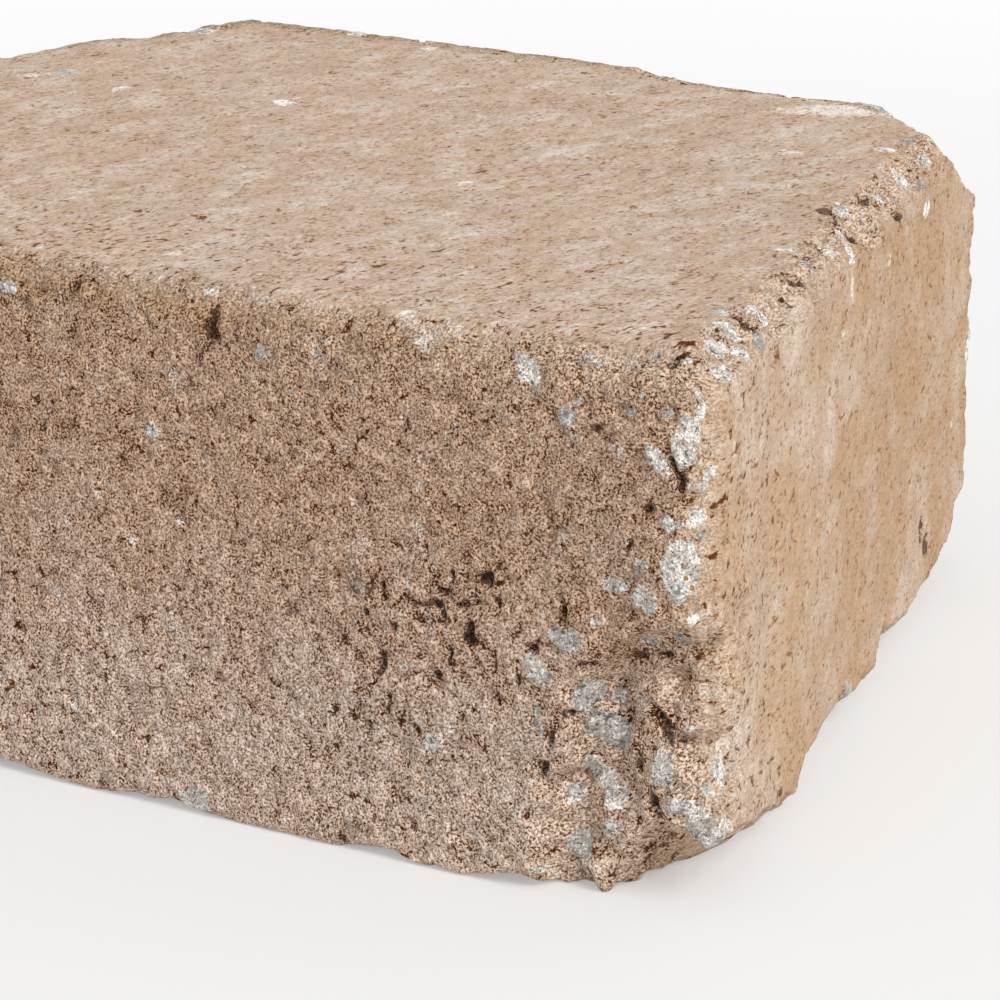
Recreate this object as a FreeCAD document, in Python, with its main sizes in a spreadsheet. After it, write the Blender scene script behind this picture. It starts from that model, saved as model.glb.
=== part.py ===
import FreeCAD, Part
import Sketcher
import math
import os

# One tumbled concrete block for a low garden retaining wall, cast in one piece.
# Its plan is a trapezoid, wide at the face that shows and narrow at the back, so that a wall
# of them can curve. Tumbling has rounded every arris, knocked off the corners and spalled
# small shells from the edges, most of all along the bed.
# Frame: +X to the right along the face, +Y from the face to the back, +Z up from the bed.
# The origin is at the middle of the bed.

PARTS_FOLDER = "parts"
BLOCK_NODE = "wall_block"

# Driving sizes in millimetres: name, value, what it is
SIZES = [
    ("front_width", 305, "width of the face that shows in the wall"),
    ("back_width", 171, "width of the back"),
    ("depth", 203, "face to back"),
    ("height", 89, "bed to top"),
    ("upright_radius", 8, "rounding of the four upright arrises"),
    ("top_radius", 7, "rounding of the arrises round the top"),
    ("bed_radius", 4, "rounding of the arrises round the bed"),
    ("bed_chip_pitch", 27, "mean step between two chips along the bed"),
    ("bed_chip_length", 22, "mean length of a chip along the bed"),
    ("bed_chip_bite", 1.8, "depth of such a chip below the rounded arris"),
    ("top_chip_pitch", 49, "mean step between two chips along the top"),
    ("top_chip_length", 30, "mean length of a chip along the top"),
    ("top_chip_bite", 1.4, "depth of such a chip below the rounded arris"),
    ("upright_chip_length", 34, "length of the chip on each upright arris"),
    ("upright_chip_bite", 1.5, "depth of such a chip below the rounded arris"),
    ("upright_chip_height", 52, "middle of such a chip above the bed"),
    ("knock_set_back", 9.5, "sharp corner to the middle of its knocked-off facet"),
    ("broken_set_back", 19, "the same for the corner that is broken off"),
    ("knock_radius", 48, "hollow of the knocked-off facets"),
    ("spall_length", 32, "reach of the broken corner along the face"),
    ("spall_depth", 7, "reach of the broken corner behind the face"),
    ("spall_height", 40, "reach of the broken corner above its middle"),
    ("spall_middle", 6, "height of the broken corner's middle above the bed"),
]

# Chips differ by these shares of their mean step and length
STEP_SPREAD = 0.16
LENGTH_SPREAD = 0.18

# The plan's corners, anticlockwise from the front left: sign of x, sign of y
PLAN_CORNERS = [(-1, -1), (1, -1), (1, 1), (-1, 1)]
BROKEN_CORNER = (1, -1)

# Half of what the sides close in by, and the angle that a side makes with the Y axis
CLOSE_IN = "(Sizes.front_width - Sizes.back_width) / 2"
TAPER = f"atan({CLOSE_IN} / Sizes.depth)"


def fill_sheet(doc):
    """Writes the driving sizes to a sheet, one row each, with the name as the alias."""
    sheet = doc.addObject("Spreadsheet::Sheet", "Sizes")
    for row, (name, value, meaning) in enumerate(SIZES, start=1):
        sheet.set(f"A{row}", name)
        sheet.set(f"B{row}", str(value))
        sheet.setAlias(f"B{row}", name)
        sheet.set(f"C{row}", meaning)
    doc.recompute()
    return sheet


def origin_plane(body, role):
    """The body's own origin plane with that role."""
    return next(f for f in body.Origin.OriginFeatures if f.Role == role)


def draw_plan(body):
    """The trapezoid of the bed, symmetric about the Y axis, with the face at the front."""
    plan = body.newObject("Sketcher::SketchObject", "Plan")
    plan.AttachmentSupport = [(origin_plane(body, "XY_Plane"), "")]
    plan.MapMode = "FlatFace"
    corners = [FreeCAD.Vector(100 * x, 60 * y, 0) for x, y in PLAN_CORNERS]
    for start, end in zip(corners, corners[1:] + corners[:1]):
        plan.addGeometry(Part.LineSegment(start, end))
    face, right, back, left = range(4)
    for line in range(4):
        plan.addConstraint(Sketcher.Constraint("Coincident", line, 2, (line + 1) % 4, 1))
    for line in (face, back):
        plan.addConstraint(Sketcher.Constraint("Symmetric", line, 1, line, 2, -2))
    sized = [
        ("front_width", "DistanceX", (face, 1, face, 2), "Sizes.front_width"),
        ("back_width", "DistanceX", (back, 2, back, 1), "Sizes.back_width"),
        ("to_face", "DistanceY", (face, 1, -1, 1), "Sizes.depth / 2"),
        ("to_back", "DistanceY", (-1, 1, back, 1), "Sizes.depth / 2"),
    ]
    for name, kind, ends, size in sized:
        number = plan.addConstraint(Sketcher.Constraint(kind, *ends, 100))
        plan.renameConstraint(number, name)
        plan.setExpression(f"Constraints.{name}", size)
    return plan


def edges_where(shape, test):
    """The names of the shape's edges whose box passes the test."""
    return [f"Edge{n}" for n, edge in enumerate(shape.Edges, start=1) if test(edge.BoundBox)]


def round_arrises(body, base, name, radius, test):
    """Rounds the edges of the base feature that pass the test."""
    rounding = body.newObject("PartDesign::Fillet", name)
    rounding.Base = (base, edges_where(base.Shape, test))
    rounding.setExpression("Radius", radius)
    rounding.Document.recompute()
    return rounding


def cast_block(doc, sheet):
    """The block as it would be with worn arrises and no chips: plan, height and three roundings."""
    body = doc.addObject("PartDesign::Body", "CastBlock")
    plan = draw_plan(body)
    cast = body.newObject("PartDesign::Pad", "Cast")
    cast.Profile = plan
    cast.setExpression("Length", "Sizes.height")
    doc.recompute()
    flat = 1e-6
    upright = round_arrises(
        body, cast, "UprightArrises", "Sizes.upright_radius", lambda box: box.ZLength > flat
    )
    top = round_arrises(
        body, upright, "TopArrises", "Sizes.top_radius",
        lambda box: box.ZMin > sheet.height - flat,
    )
    bed = round_arrises(
        body, top, "BedArrises", "Sizes.bed_radius", lambda box: box.ZMax < flat
    )
    body.Tip = bed
    return body


def place(tool, x, y, z):
    """Binds the tool's centre to three expressions."""
    for axis, where in zip("xyz", (x, y, z)):
        tool.setExpression(f".Placement.Base.{axis}", where)


def chip_along(doc, name, edge, at_top, along, length):
    """One shell-shaped chip: a ball that bites the arris over the given length.

    edge is front, back, right or left; along is where the chip's middle lies, as an
    expression: x on the front and back, and y behind the face on the sides.
    A ball that bites b deep over a length l has a radius of (l * l / 4 + b * b) / (2 * b).
    """
    level = "top" if at_top else "bed"
    # from the sharp edge to the deepest point, half way round the arris
    depth = f"((sqrt(2) - 1) * Sizes.{level}_radius + Sizes.{level}_chip_bite)"
    ball = doc.addObject("Part::Sphere", name)
    radius = f"(({length}) ^ 2 / 4 + {depth} ^ 2) / (2 * {depth})"
    ball.setExpression("Radius", radius)
    out = f"(({radius}) - {depth}) / sqrt(2)"
    z = f"Sizes.height + {out}" if at_top else f"0 - {out}"
    if edge in ("front", "back"):
        sign = "-" if edge == "front" else "+"
        place(ball, along, f"{sign}(Sizes.depth / 2 + {out})", z)
        return ball
    sign = "+" if edge == "right" else "-"
    side_x = f"(Sizes.front_width / 2 - {CLOSE_IN} * ({along}) / Sizes.depth)"
    x = f"{sign}({side_x} + {out} * cos({TAPER}))"
    y = f"({along}) - Sizes.depth / 2 + {out} * sin({TAPER})"
    place(ball, x, y, z)
    return ball


def chip_row(doc, sheet, edge, at_top):
    """Uneven chips along one edge, as many as its length has room for."""
    level = "top" if at_top else "bed"
    pitch = getattr(sheet, f"{level}_chip_pitch")
    run = {"front": sheet.front_width, "back": sheet.back_width}.get(edge, sheet.depth)
    count = max(1, int(run / pitch) - 1)
    start = "0" if edge in ("front", "back") else "Sizes.depth / 2"
    phase = len(edge) + (3 if at_top else 0)
    chips = []
    for n in range(count):
        step = n - (count - 1) / 2 + STEP_SPREAD * math.sin(2.4 * n + phase)
        share = 1 + LENGTH_SPREAD * math.sin(1.7 * n + phase)
        along = f"{start} + {step:.4f} * Sizes.{level}_chip_pitch"
        length = f"{share:.4f} * Sizes.{level}_chip_length"
        name = f"{edge.capitalize()}{level.capitalize()}Chip{n + 1}"
        chips.append(chip_along(doc, name, edge, at_top, along, length))
    return chips


def upright_chips(doc):
    """One longer chip on each upright arris, on the line that halves the plan's corner."""
    balls = []
    for number, (x_sign, y_sign) in enumerate(PLAN_CORNERS, start=1):
        width = "Sizes.front_width" if y_sign < 0 else "Sizes.back_width"
        # half the plan's corner angle: sharper than square at the face, blunter at the back
        half = f"((90 + {y_sign} * {TAPER} / 1 deg) / 2 * 1 deg)"
        depth = f"(Sizes.upright_radius * (1 / sin({half}) - 1) + Sizes.upright_chip_bite)"
        radius = f"(Sizes.upright_chip_length ^ 2 / 4 + {depth} ^ 2) / (2 * {depth})"
        out = f"(({radius}) - {depth})"
        ball = doc.addObject("Part::Sphere", f"UprightChip{number}")
        ball.setExpression("Radius", radius)
        x = f"{x_sign} * ({width} / 2 + {out} * cos({half}))"
        y = f"{y_sign} * (Sizes.depth / 2 + {out} * sin({half}))"
        place(ball, x, y, "Sizes.upright_chip_height")
        balls.append(ball)
    return balls


def corner_knocks(doc):
    """A wide shallow hollow across each of the eight corners, deepest at the broken one."""
    balls = []
    for number, (x_sign, y_sign) in enumerate(PLAN_CORNERS, start=1):
        width = "Sizes.front_width" if y_sign < 0 else "Sizes.back_width"
        for level in ("Bed", "Top"):
            broken = level == "Bed" and (x_sign, y_sign) == BROKEN_CORNER
            set_back = "Sizes.broken_set_back" if broken else "Sizes.knock_set_back"
            out = f"(Sizes.knock_radius - {set_back}) / sqrt(3)"
            z = f"Sizes.height + {out}" if level == "Top" else f"0 - {out}"
            ball = doc.addObject("Part::Sphere", f"{level}CornerKnock{number}")
            ball.setExpression("Radius", "Sizes.knock_radius")
            x = f"{x_sign} * ({width} / 2 + {out})"
            y = f"{y_sign} * (Sizes.depth / 2 + {out})"
            place(ball, x, y, z)
            balls.append(ball)
    return balls


def broken_corner(doc):
    """The deep spall beside the right-hand arris of the face, from the bed up."""
    spall = doc.addObject("Part::Ellipsoid", "BrokenCorner")
    # an ellipsoid's first radius lies along its own Z, the other two along X and Y
    spall.setExpression("Radius1", "Sizes.spall_height")
    spall.setExpression("Radius2", "Sizes.spall_length")
    spall.setExpression("Radius3", "Sizes.spall_depth")
    place(spall, "Sizes.front_width / 2", "-Sizes.depth / 2", "Sizes.spall_middle")
    return spall


def check_features(doc):
    """Stops the build if any object failed to recompute."""
    for thing in doc.Objects:
        if any(word in ("Invalid", "Error") for word in thing.State):
            raise RuntimeError(f"{thing.Name} failed: {thing.State}")


def main():
    doc = FreeCAD.newDocument("RetainingWallBlock")
    sheet = fill_sheet(doc)
    cast = cast_block(doc, sheet)
    chips = [broken_corner(doc)] + corner_knocks(doc) + upright_chips(doc)
    for edge in ("front", "right", "back", "left"):
        chips += chip_row(doc, sheet, edge, at_top=False)
        chips += chip_row(doc, sheet, edge, at_top=True)
    waste = doc.addObject("Part::MultiFuse", "Waste")
    waste.Shapes = chips
    block = doc.addObject("Part::Cut", "WornBlock")
    block.Label = BLOCK_NODE
    block.Base = cast
    block.Tool = waste
    doc.recompute()
    check_features(doc)
    shape = block.Shape
    if shape.isNull() or not shape.isValid() or len(shape.Solids) != 1:
        raise RuntimeError("the block isn't one valid solid")
    box = shape.optimalBoundingBox(False)
    print(f"{len(chips)} cuts, {len(shape.Faces)} faces")
    print(f"cast {cast.Shape.Volume / 1e6:.4f} l, worn {shape.Volume / 1e6:.4f} l")
    print(f"box {box.XLength:.2f} x {box.YLength:.2f} x {box.ZLength:.2f} mm")
    os.makedirs(PARTS_FOLDER, exist_ok=True)
    shape.exportStep(os.path.join(PARTS_FOLDER, f"{block.Label}.step"))


main()
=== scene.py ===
# %% [markdown]
# A tumbled retaining wall block of tan concrete. The CAD model gives the frame: the real
# size and the place of the bed, on which the block lies. This file gives the block its
# looks: the worn skin, the gravel that shows where arrises broke, the finish, the light and
# the camera. The wide end is the face, and the sides taper to the back.

# %% Load the frame
import itertools
import math

import bpy
import numpy as np
from mathutils import Euler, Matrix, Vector


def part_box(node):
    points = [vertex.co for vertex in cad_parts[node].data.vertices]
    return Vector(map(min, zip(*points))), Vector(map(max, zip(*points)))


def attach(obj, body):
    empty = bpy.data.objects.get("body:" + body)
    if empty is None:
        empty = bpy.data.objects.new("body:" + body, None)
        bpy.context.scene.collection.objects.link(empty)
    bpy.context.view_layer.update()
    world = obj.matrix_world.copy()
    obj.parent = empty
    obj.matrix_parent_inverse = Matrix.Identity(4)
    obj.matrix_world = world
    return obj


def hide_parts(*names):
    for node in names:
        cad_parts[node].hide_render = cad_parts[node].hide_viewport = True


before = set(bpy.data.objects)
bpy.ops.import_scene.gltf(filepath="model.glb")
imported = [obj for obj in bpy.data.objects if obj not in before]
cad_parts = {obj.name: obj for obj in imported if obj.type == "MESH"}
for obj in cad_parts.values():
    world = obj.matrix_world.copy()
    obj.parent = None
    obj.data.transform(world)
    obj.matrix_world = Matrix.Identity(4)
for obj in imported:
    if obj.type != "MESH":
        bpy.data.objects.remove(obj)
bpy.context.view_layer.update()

MM = 0.001
low, high = (np.array(corner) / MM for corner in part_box("wall_block"))
DEPTH = high[1] - low[1]
HEIGHT = high[2] - low[2]
FRONT_WIDTH = 305.0  # between the sharp corners of the face, before their rounding
BACK_WIDTH = 171.0
FACE_Y = -DEPTH / 2
BACK_Y = DEPTH / 2
TAPER = math.atan2((FRONT_WIDTH - BACK_WIDTH) / 2, DEPTH)
print(f"block: {DEPTH:.1f} mm deep, {HEIGHT:.1f} mm high, sides taper {math.degrees(TAPER):.1f} deg")

# %% [markdown]
# The camera comes first, because some marks on the block are placed by where they lie in the
# picture. It stands low, off the right-hand end of the face, with a long lens that crops the
# block's left part. Its place could be found by trial, but the vanishing points of the
# block's three directions give it at once. The picture is taken as 1000 by 1000 pixels.

# %% The camera
PICTURE = 1000
CAMERA_AT = Vector((513.6, -693.8, 263.2)) * MM
CAMERA_AZIMUTH = math.radians(34.03)
CAMERA_DOWN = math.radians(15.64)
FOCAL_PIXELS = 4833
SENSOR = 36.0

camera_data = bpy.data.cameras.new("camera")
camera = bpy.data.objects.new("camera", camera_data)
bpy.context.collection.objects.link(camera)
camera_data.sensor_width = SENSOR
camera_data.lens = SENSOR * FOCAL_PIXELS / PICTURE
camera_data.clip_start = 0.01
camera.location = CAMERA_AT
camera.rotation_euler = Euler((math.pi / 2 - CAMERA_DOWN, 0, CAMERA_AZIMUTH))
bpy.context.scene.camera = camera


def sight(px, py):
    """The direction of the ray through a pixel: ahead, plus its offset over the focal length."""
    aside = (px - PICTURE / 2) / FOCAL_PIXELS
    above = (PICTURE / 2 - py) / FOCAL_PIXELS
    ray = Vector((aside, above, -1)).normalized()
    ray.rotate(camera.rotation_euler)
    return ray


print("lens", round(camera_data.lens, 1), "mm; the picture's middle looks along", sight(500, 500))

# %% [markdown]
# Worn concrete is irregular at every size, so its forms come from noise. A Displace modifier
# has noise too, but numpy lets each kind of wear act only where it belongs. Gradient noise
# gives each corner of a cubic grid a random slope and blends the slopes in between. Cellular
# noise drops one random point in each cube and measures the way to the nearest one, which
# gives lumps with gaps between them. Both take all the points of the block at once.

# %% Noise in numpy
SEED = 7
SEED_SHIFT = 31.7  # cells by which one more seed moves the gradient noise
DROP_SHIFT = 17.3  # the same for the cellular noise
GAIN = 1.6  # brings the sum of the blended slopes to about -1 to 1
rng = np.random.default_rng(SEED)
SHUFFLE = rng.permutation(256)
SLOPES = rng.normal(size=(256, 3))
SLOPES /= np.linalg.norm(SLOPES, axis=1, keepdims=True)
DROPS = rng.random((256, 3))


def pick(cell):
    """A random number from 0 to 255 for each whole-numbered cell, always the same one."""
    cell = cell & 255
    first = SHUFFLE[cell[:, 0]]
    second = SHUFFLE[(first + cell[:, 1]) & 255]
    return SHUFFLE[(second + cell[:, 2]) & 255]


def lumps(points, size, seed=0):
    """Gradient noise from about -1 to 1, with one lump in every `size` mm."""
    grid = points / size + SEED_SHIFT * seed
    cell = np.floor(grid).astype(int)
    part = grid - cell
    fade = part**3 * (part * (part * 6 - 15) + 10)
    total = np.zeros(len(points))
    for corner in itertools.product((0, 1), repeat=3):
        slope = (SLOPES[pick(cell + corner)] * (part - corner)).sum(axis=1)
        total += slope * np.where(corner, fade, 1 - fade).prod(axis=1)
    return GAIN * total


def rough(points, size, octaves, seed=0):
    """Lumps of `size` mm with smaller ones on them, each half the size and half as high."""
    return sum(lumps(points, size / 2**n, seed + n) / 2**n for n in range(octaves))


def cells(points, size, seed=0):
    """Cellular noise: how far away the nearest drop is, in cell sizes."""
    grid = points / size + DROP_SHIFT * seed
    cell = np.floor(grid).astype(int)
    nearest = np.full(len(points), 9.0)
    for step in itertools.product((-1, 0, 1), repeat=3):
        there = cell + step
        away = np.linalg.norm(there + DROPS[pick(there)] - grid, axis=1)
        nearest = np.minimum(nearest, away)
    return nearest


def ease(value, start, end):
    """0 below start, 1 above end and a smooth S between them."""
    t = np.clip((value - start) / (end - start), 0, 1)
    return t * t * (3 - 2 * t)


def read_off(at, pairs):
    """A value read off straight lines between (place, value) pairs."""
    places, values = np.array(pairs).T
    return np.interp(at, places, values)


samples = rough(np.array([[0.0, 0, 0], [3, 0, 0], [6, 0, 0]]), 9, 3)
print("noise along a line, every 3 mm:", samples.round(2))

# %% [markdown]
# The skin is one closed surface. It starts as the outside of a cubic lattice, six grids that
# share their edges, so there is no seam to weld. It could be a cube that is subdivided and
# sculpted, but here every step is a formula for all the points. Each of them carries three
# coordinates from -1 to 1: across, back and up. The lines are closest together near the
# corner that faces the camera, where the smallest pits have to show.

# %% The lattice
ACROSS_STEPS = ((-153, 1.2), (-10, 1.2), (12, 0.60), (153, 0.50))  # place and spacing in mm
BACK_STEPS = ((-102, 0.55), (-60, 0.60), (-20, 1.1), (102, 1.1))
UP_STEPS = ((-45, 0.6), (45, 0.6))
COARSER = 1.0
FINE_STEPS = 4001  # places at which the spacing is read off along a side


def lattice_lines(length, steps):
    """Lines from -1 to 1, one each time that the sum of 1 / spacing grows by one."""
    fine = np.linspace(-length / 2, length / 2, FINE_STEPS)
    rate = 1 / (COARSER * read_off(fine, steps))
    count = np.concatenate([[0], np.cumsum(rate[1:] * np.diff(fine))])
    return np.interp(np.linspace(0, count[-1], math.ceil(count[-1]) + 1), count, fine) * 2 / length


def quads(ids, flip):
    """The four corners of every square of a grid of point numbers."""
    squares = np.stack([ids[:-1, :-1], ids[1:, :-1], ids[1:, 1:], ids[:-1, 1:]], axis=-1)
    squares = squares.reshape(-1, 4)
    return squares[:, ::-1] if flip else squares


sides = [
    lattice_lines(FRONT_WIDTH, ACROSS_STEPS),
    lattice_lines(DEPTH, BACK_STEPS),
    lattice_lines(HEIGHT, UP_STEPS),
]
inside = np.ones([len(side) for side in sides], dtype=bool)
inside[1:-1, 1:-1, 1:-1] = False
number = np.cumsum(inside.ravel()).reshape(inside.shape) - 1
u, v, w = (side[at] for side, at in zip(sides, np.nonzero(inside)))
faces = np.concatenate([
    quads(number[:, :, 0], True), quads(number[:, :, -1], False),
    quads(number[:, 0, :], False), quads(number[:, -1, :], True),
    quads(number[0, :, :], True), quads(number[-1, :, :], False),
])
print(f"lattice: {len(u)} points, {len(faces)} squares")

# %% [markdown]
# The lattice is then bent to the block. A point's place follows the taper, and the hollow of
# the broken corner and the chips of the bed push the flats in. The arrises are rounded by
# pulling each point back to a smaller block inside and pushing it out again by the radius.
# A Bevel modifier rounds arrises too, but with one radius for all, and these differ.

# %% The form of the block
BROKEN_AT = np.array([FRONT_WIDTH / 2, 4.0])  # x and z of the broken corner's middle
BROKEN_REACH = np.array([37.0, 45.0])
BROKEN_DEPTH = 6.0
BROKEN_RIM = 0.22  # the share of the reach over which the hollow gets its depth
ARRIS_RADIUS = 7.5
LEAST_RADIUS = 1.3
SHARPER_BACK = 6.0  # mm less of radius at the back's arrises
SHARPER_LOW = 5.8  # the same at the bed's
SHARPER_LEFT = 4.5  # and on a stretch of the top's left arris that the tumbler spared
SPARED_AT = 60.0  # y of the middle of that stretch
SPARED_REACH = 12.0
LIFT_REACH = (6.0, 4.5)  # mm that a lift reaches back, and how many more for each mm of lift
BED_LIFT = (  # x, and how far the bed's front arris is broken away upwards there, in mm
    (-152, 6), (-141, 2), (-120, 0.3), (-95, 1.8), (-70, 0), (-40, 1.4), (-22, 0.3), (0, 2.0),
    (14, 1.6), (22, 0.7), (30, 0.1), (35, 0.3), (40, 1.2), (44, 0.9), (48, 1.7), (53, 0.8), (60, 0),
    (81, 0), (85, 0.9), (92, 1.5), (97, 0.2), (104, 0), (109, 0.8), (115, 1.9), (121, 0.9),
    (125, 0.4), (130, 0.4), (132, 3.0), (134, 7.4), (136, 10.0), (138, 13.0), (140, 14.6), (144, 14.0),
    (148, 12.2), (152, 11.4),
)


def half_width(y):
    """Half the width at y: a straight taper from the face to the back."""
    share = (y - FACE_Y) / DEPTH
    return (FRONT_WIDTH + (BACK_WIDTH - FRONT_WIDTH) * share) / 2


def face_hollow(x, z):
    """How far the broken corner lies behind the face: half an ellipsoid with a ragged rim."""
    spots = np.stack([x, np.full_like(x, 5.0), z], axis=1)
    ragged = 0.12 * rough(spots, 14, 3, seed=3)
    away = np.hypot((x - BROKEN_AT[0]) / BROKEN_REACH[0], (z - BROKEN_AT[1]) / BROKEN_REACH[1])
    return BROKEN_DEPTH * ease(1 - away - ragged, 0.0, BROKEN_RIM)


def bed_hollow(x, y):
    """How far the bed is broken away upwards: the lift, fading over a reach that grows with it."""
    lift = read_off(x, BED_LIFT)
    spots = np.stack([x, y, np.zeros_like(x)], axis=1)
    reach = LIFT_REACH[0] + LIFT_REACH[1] * lift
    away = (y - FACE_Y) / reach + 0.12 * rough(spots, 16, 2, seed=5)
    return lift * ease(1 - away, 0, 1)


def sharp(u, v, w):
    """A lattice point's place on the sharp block: the taper, less the hollows of its faces."""
    y = v * DEPTH / 2
    x = u * half_width(y)
    z = (w + 1) * HEIGHT / 2
    y = y + face_hollow(x, z) * (1 - v) / 2
    z = z + bed_hollow(x, y) * (1 - w) / 2
    x = u * half_width(y)
    return np.stack([x, y, z], axis=1)


place = sharp(u, v, w)
low_down = ease(-w, 0.6, 0.97)
spared = np.exp(-(((place[:, 1] - SPARED_AT) / SPARED_REACH) ** 2)) * ease(-u, 0.7, 0.9)
spared = spared * ease(w, 0.6, 0.9)
sharper_back = np.maximum(ease(w, 0.3, 0.8), 0.75 * (u > 0))
radius = ARRIS_RADIUS + 1.2 * lumps(place, 45, seed=11)
radius -= SHARPER_BACK * ease(v, 0.5, 0.95) * (0.45 + 0.55 * sharper_back)
radius -= low_down * SHARPER_LOW + spared * SHARPER_LEFT
radius = np.maximum(radius, LEAST_RADIUS)
shrink = [
    1 - radius / (half_width(place[:, 1]) * math.cos(TAPER)),
    1 - radius / (DEPTH / 2),
    1 - radius / (HEIGHT / 2),
]
core = sharp(*(np.clip(at, -most, most) for at, most in zip((u, v, w), shrink)))
outward = place - core
outward /= np.linalg.norm(outward, axis=1, keepdims=True)
skin = core + radius[:, None] * outward
print("rounded form spans", (skin.max(axis=0) - skin.min(axis=0)).round(1), "mm")

# %% [markdown]
# Blows in the tumbler break shells off the arrises. Boolean cutters could take them off, but
# they would break up the lattice. So each break is a rough plane across the arris, and what
# lies past it is pushed back onto it. The bed's arrises lost a bevel of mostly 2 to 10 mm,
# the top is worn down a little along its back and its left, its right arris is broken back
# unevenly, and four corners are knocked off.

# %% How much broke off
RIGHT_BEVEL = (  # y, and how high the break along the bed reaches up the right side
    (-102, 12), (-92, 9.4), (-78, 10.0), (-66, 7.8), (-56, 5.8), (-44, 3.4), (-36, 7.4), (-28, 6.6),
    (-22, 8.6), (-8, 8.0), (0, 6.6), (12, 5.8), (19, 4.6), (25, 10.4), (34, 8.0), (43, 7.2),
    (55, 1.8), (64, 0.6), (71, 3.6), (82, 7.4), (90, 13), (102, 16),
)
LEFT_BEVEL = (  # the same up the left side
    (-102, 9), (-85, 4), (-66, 7), (-40, 3), (-18, 6), (5, 3.5), (30, 7.5), (52, 4), (76, 8), (102, 5),
)
BACK_BEVEL = (  # x, and how high the break along the bed reaches up the back
    (-86, 5), (-60, 2), (-35, 5), (-10, 2.5), (20, 4.5), (50, 2), (86, 8),
)
BACK_DROP = (  # x, and how far the back of the top is worn down
    (-86, 0.2), (-74, 0), (-28, 0), (-19, 0.4), (-8, 0.5), (9, 0.8), (16, 2.0), (28, 2.5),
    (40, 2.8), (62, 2.5), (71, 3.4), (86, 5),
)
RIGHT_SHOULDER = (  # y, and how far the top's right arris is broken back; 3 leaves its rounding
    (-102, 3.0), (-92, 4.2), (-80, 4.6), (-70, 3.2), (-62, 4.2), (-54, 5.8), (-45, 5.0), (-36, 3.4),
    (-20, 3.0), (-6, 3.6), (6, 5.2), (14, 6.4), (22, 4.2), (32, 5.6), (42, 4.4), (54, 4.6),
    (66, 3.2), (102, 3.0),
)
LEFT_DROP = (  # y, and how far the top is worn down along its left arris
    (-102, 0.5), (-60, 1.2), (0, 0.3), (48, 0.7), (58, 0), (66, 0), (72, 1.5), (79, 0.8),
    (85, 1.1), (91, 0.2), (102, 0),
)
KNOCKED_OFF = (  # the corner, as signs of x and y and a share of the height; a way out; mm lost
    ((1, 1, 1), (0.50, 0.50, 0.70), 12.5),
    ((1, 1, 0), (0.60, 0.25, -0.75), 7.5),
    ((-1, 1, 0), (-0.55, 0.50, -0.65), 8.0),
    ((-1, -1, 1), (-0.50, -0.60, 0.60), 7.0),
)
BEVEL_OUT = 0.70  # a bevel of the bed faces this much outwards
BEVEL_DOWN = -0.714
SHOULDER_WAY = (0.68, 0.22, 0.71)
BACK_DROP_WAY = (0, 0.2, 0.98)
LEFT_DROP_WAY = (-0.2, 0.06, 0.98)
BREAK_ROUGH = 0.8  # mm, the roughness of most breaks
SHOULDER_ROUGH = 1.0
BACK_DROP_ROUGH = 0.25  # the top's other arrises are rather rubbed down
LEFT_DROP_ROUGH = 0.3
SETTLE = 1.2  # mm past a plane over which the skin comes to face the plane's way

# %% Break shells off the arrises
raggedness = rough(skin, 9, 3, seed=13)


def cut_back(form, anchor, way, ragged):
    """Pushes the skin back to a rough plane: past = (point - anchor) . way + roughness."""
    skin, outward, fresh = form
    way = np.array(way) / np.linalg.norm(way)
    past = ((skin - anchor) * way).sum(axis=1) + ragged * raggedness
    share = ease(past, 0.0, SETTLE)
    outward = outward * (1 - share[:, None]) + way * share[:, None]
    outward /= np.linalg.norm(outward, axis=1, keepdims=True)
    return skin - np.clip(past, 0, None)[:, None] * way, outward, np.maximum(fresh, share)


def sheet(x, y, z):
    """One point for each point of the skin, from coordinates that may be one number."""
    return np.stack(np.broadcast_arrays(x, y, z), axis=1)


x, y, _ = skin.T
breaks = []  # points that a plane runs through, the way it faces, and its roughness
for hand, bevel in ((1, RIGHT_BEVEL), (-1, LEFT_BEVEL)):
    way = (hand * BEVEL_OUT * math.cos(TAPER), BEVEL_OUT * math.sin(TAPER), BEVEL_DOWN)
    breaks.append((sheet(hand * half_width(y), y, read_off(y, bevel)), way, BREAK_ROUGH))
breaks.append((sheet(x, BACK_Y, read_off(x, BACK_BEVEL)), (0, BEVEL_OUT, BEVEL_DOWN), BREAK_ROUGH))
back_worn = sheet(x, BACK_Y, HEIGHT - read_off(x, BACK_DROP))
breaks.append((back_worn, BACK_DROP_WAY, BACK_DROP_ROUGH))
left_worn = sheet(-half_width(y), y, HEIGHT - read_off(y, LEFT_DROP))
breaks.append((left_worn, LEFT_DROP_WAY, LEFT_DROP_ROUGH))
lost = read_off(y, RIGHT_SHOULDER)
shoulder = sheet(half_width(y) - SHOULDER_WAY[0] * lost, y, HEIGHT - SHOULDER_WAY[2] * lost)
breaks.append((shoulder, SHOULDER_WAY, SHOULDER_ROUGH))
for (right, behind, up), way, lost in KNOCKED_OFF:
    at = np.array([right * half_width(behind * BACK_Y), behind * BACK_Y, up * HEIGHT])
    breaks.append((at - lost * np.array(way) / np.linalg.norm(way), way, BREAK_ROUGH))

form = (skin, outward, np.zeros(len(skin)))
for anchor, way, ragged in breaks:
    form = cut_back(form, anchor, way, ragged)
skin, outward, fresh = form  # fresh is 1 where concrete was broken off
print(f"broken faces cover {100 * (fresh > 0.5).mean():.0f} % of the skin")

# %% [markdown]
# Tumbling wears the arrises most, so the wear is noise that fades with the distance from the
# nearest arris. The face has an open grain of pits between lumps of sand and gravel, and the
# fresh breaks are lumpy, with a hollow round each coarse stone. Bump in the finish would be
# cheaper, but it leaves the outline smooth, and here the outline is what shows the wear.

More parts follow.
